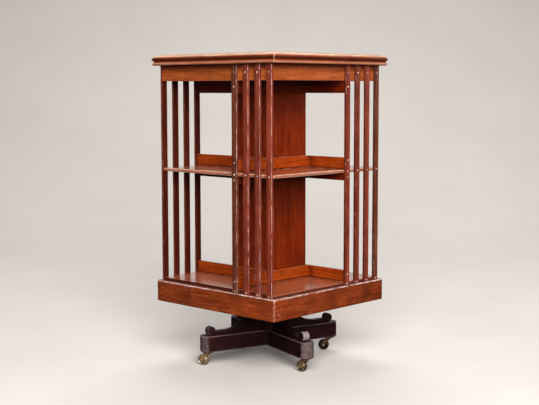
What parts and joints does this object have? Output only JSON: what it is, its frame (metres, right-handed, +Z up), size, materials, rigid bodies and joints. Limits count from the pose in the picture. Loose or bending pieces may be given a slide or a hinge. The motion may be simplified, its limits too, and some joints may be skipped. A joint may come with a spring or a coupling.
{
  "type": "rotating display rack",
  "caption": "Square mahogany display rack with pinwheel shelf compartments and side slats, turning on a post above a castored cross base with scroll brackets.",
  "frame": {"origin": "on the floor under the middle of the case, on the axis that the case turns about", "axes": "+Z up along the turning axis, -Y towards the front side, +X towards the right side; the cross base stands turned 17.5 degrees clockwise from +X, seen from above"},
  "size_m": [0.48, 0.48, 0.88],
  "materials": {
    "mahogany": "French polished red-brown mahogany, worn lighter on arrises",
    "mahogany_top": "glossy polished mahogany moulding and top",
    "mahogany_inner": "polished mahogany, darker inside",
    "mahogany_slat": "polished mahogany slats with rubbed edges",
    "dark_base": "dark stained and polished mahogany",
    "bare_wood": "unfinished secondary wood",
    "screw_brass": "old dull brass",
    "castor_brass": "aged brass, dark in the recesses",
    "steel": "oiled steel"
  },
  "bodies": {
    "base": {"lower_beam": "dark_base", "upper_beam": "dark_base", "centre_post": "dark_base", "post_collar": "castor_brass", "pivot_pin": "steel", "castor_plates": "castor_brass", "castor_screws": "castor_brass", "scroll_bracket_right": "dark_base", "scroll_bracket_back": "dark_base", "scroll_bracket_left": "dark_base", "scroll_bracket_front": "dark_base"},
    "rack": {"top_moulding_right": "mahogany_top", "top_moulding_back": "mahogany_top", "top_moulding_left": "mahogany_top", "top_moulding_front": "mahogany_top", "top_panel": "mahogany_top", "frieze_rail_right": "mahogany", "frieze_rail_back": "mahogany", "frieze_rail_left": "mahogany", "frieze_rail_front": "mahogany", "plinth_rail_right": "mahogany", "plinth_rail_back": "mahogany", "plinth_rail_left": "mahogany", "plinth_rail_front": "mahogany", "mid_shelf": "mahogany", "bottom_board": "mahogany", "divider_rail_right": "mahogany_inner", "divider_rail_back": "mahogany_inner", "divider_rail_left": "mahogany_inner", "divider_rail_front": "mahogany_inner", "mid_book_stop_right": "mahogany_inner", "mid_book_stop_back": "mahogany_inner", "mid_book_stop_left": "mahogany_inner", "mid_book_stop_front": "mahogany_inner", "bottom_book_stop_right": "mahogany_inner", "bottom_book_stop_back": "mahogany_inner", "bottom_book_stop_left": "mahogany_inner", "bottom_book_stop_front": "mahogany_inner", "column_panel_right": "mahogany_inner", "column_panel_back": "mahogany_inner", "column_panel_left": "mahogany_inner", "column_panel_front": "mahogany_inner", "shelf_rails": "mahogany_inner", "slats_right": "mahogany_slat", "slats_back": "mahogany_slat", "slats_left": "mahogany_slat", "slats_front": "mahogany_slat", "pivot_block": "bare_wood", "glue_blocks": "bare_wood", "slat_screws": "screw_brass", "guide_ring": "castor_brass", "pivot_cup": "steel"},
    "castor_right": {"castor_horn_right": "castor_brass"},
    "wheel_right": {"castor_wheel_right": "castor_brass"},
    "castor_back": {"castor_horn_back": "castor_brass"},
    "wheel_back": {"castor_wheel_back": "castor_brass"},
    "castor_left": {"castor_horn_left": "castor_brass"},
    "wheel_left": {"castor_wheel_left": "castor_brass"},
    "castor_front": {"castor_horn_front": "castor_brass"},
    "wheel_front": {"castor_wheel_front": "castor_brass"}
  },
  "joints": [
    {"name": "rack_spin", "type": "hinge", "parent": "base", "child": "rack", "pos_m": [0, 0, 0.5], "axis": [0, 0, 1], "continuous": true},
    {"name": "castor_swivel_right", "type": "hinge", "parent": "base", "child": "castor_right", "pos_m": [0.1936, -0.06104, 0.04], "axis": [0, 0, 1], "continuous": true},
    {"name": "wheel_roll_right", "type": "hinge", "parent": "castor_right", "child": "wheel_right", "pos_m": [0.18375, -0.04844, 0.016], "axis": [-0.788, -0.6157, 0], "continuous": true},
    {"name": "castor_swivel_back", "type": "hinge", "parent": "base", "child": "castor_back", "pos_m": [0.06104, 0.1936, 0.04], "axis": [0, 0, 1], "continuous": true},
    {"name": "wheel_roll_back", "type": "hinge", "parent": "castor_back", "child": "wheel_back", "pos_m": [0.05353, 0.20773, 0.016], "axis": [-0.8829, -0.4695, 0], "continuous": true},
    {"name": "castor_swivel_left", "type": "hinge", "parent": "base", "child": "castor_left", "pos_m": [-0.1936, 0.06104, 0.04], "axis": [0, 0, 1], "continuous": true},
    {"name": "wheel_roll_left", "type": "hinge", "parent": "castor_left", "child": "wheel_left", "pos_m": [-0.19748, 0.07657, 0.016], "axis": [-0.9703, -0.2419, 0], "continuous": true},
    {"name": "castor_swivel_front", "type": "hinge", "parent": "base", "child": "castor_front", "pos_m": [-0.06104, -0.1936, 0.04], "axis": [0, 0, 1], "continuous": true},
    {"name": "wheel_roll_front", "type": "hinge", "parent": "castor_front", "child": "wheel_front", "pos_m": [-0.06132, -0.17761, 0.016], "axis": [-0.9998, -0.0175, 0], "continuous": true}
  ]
}
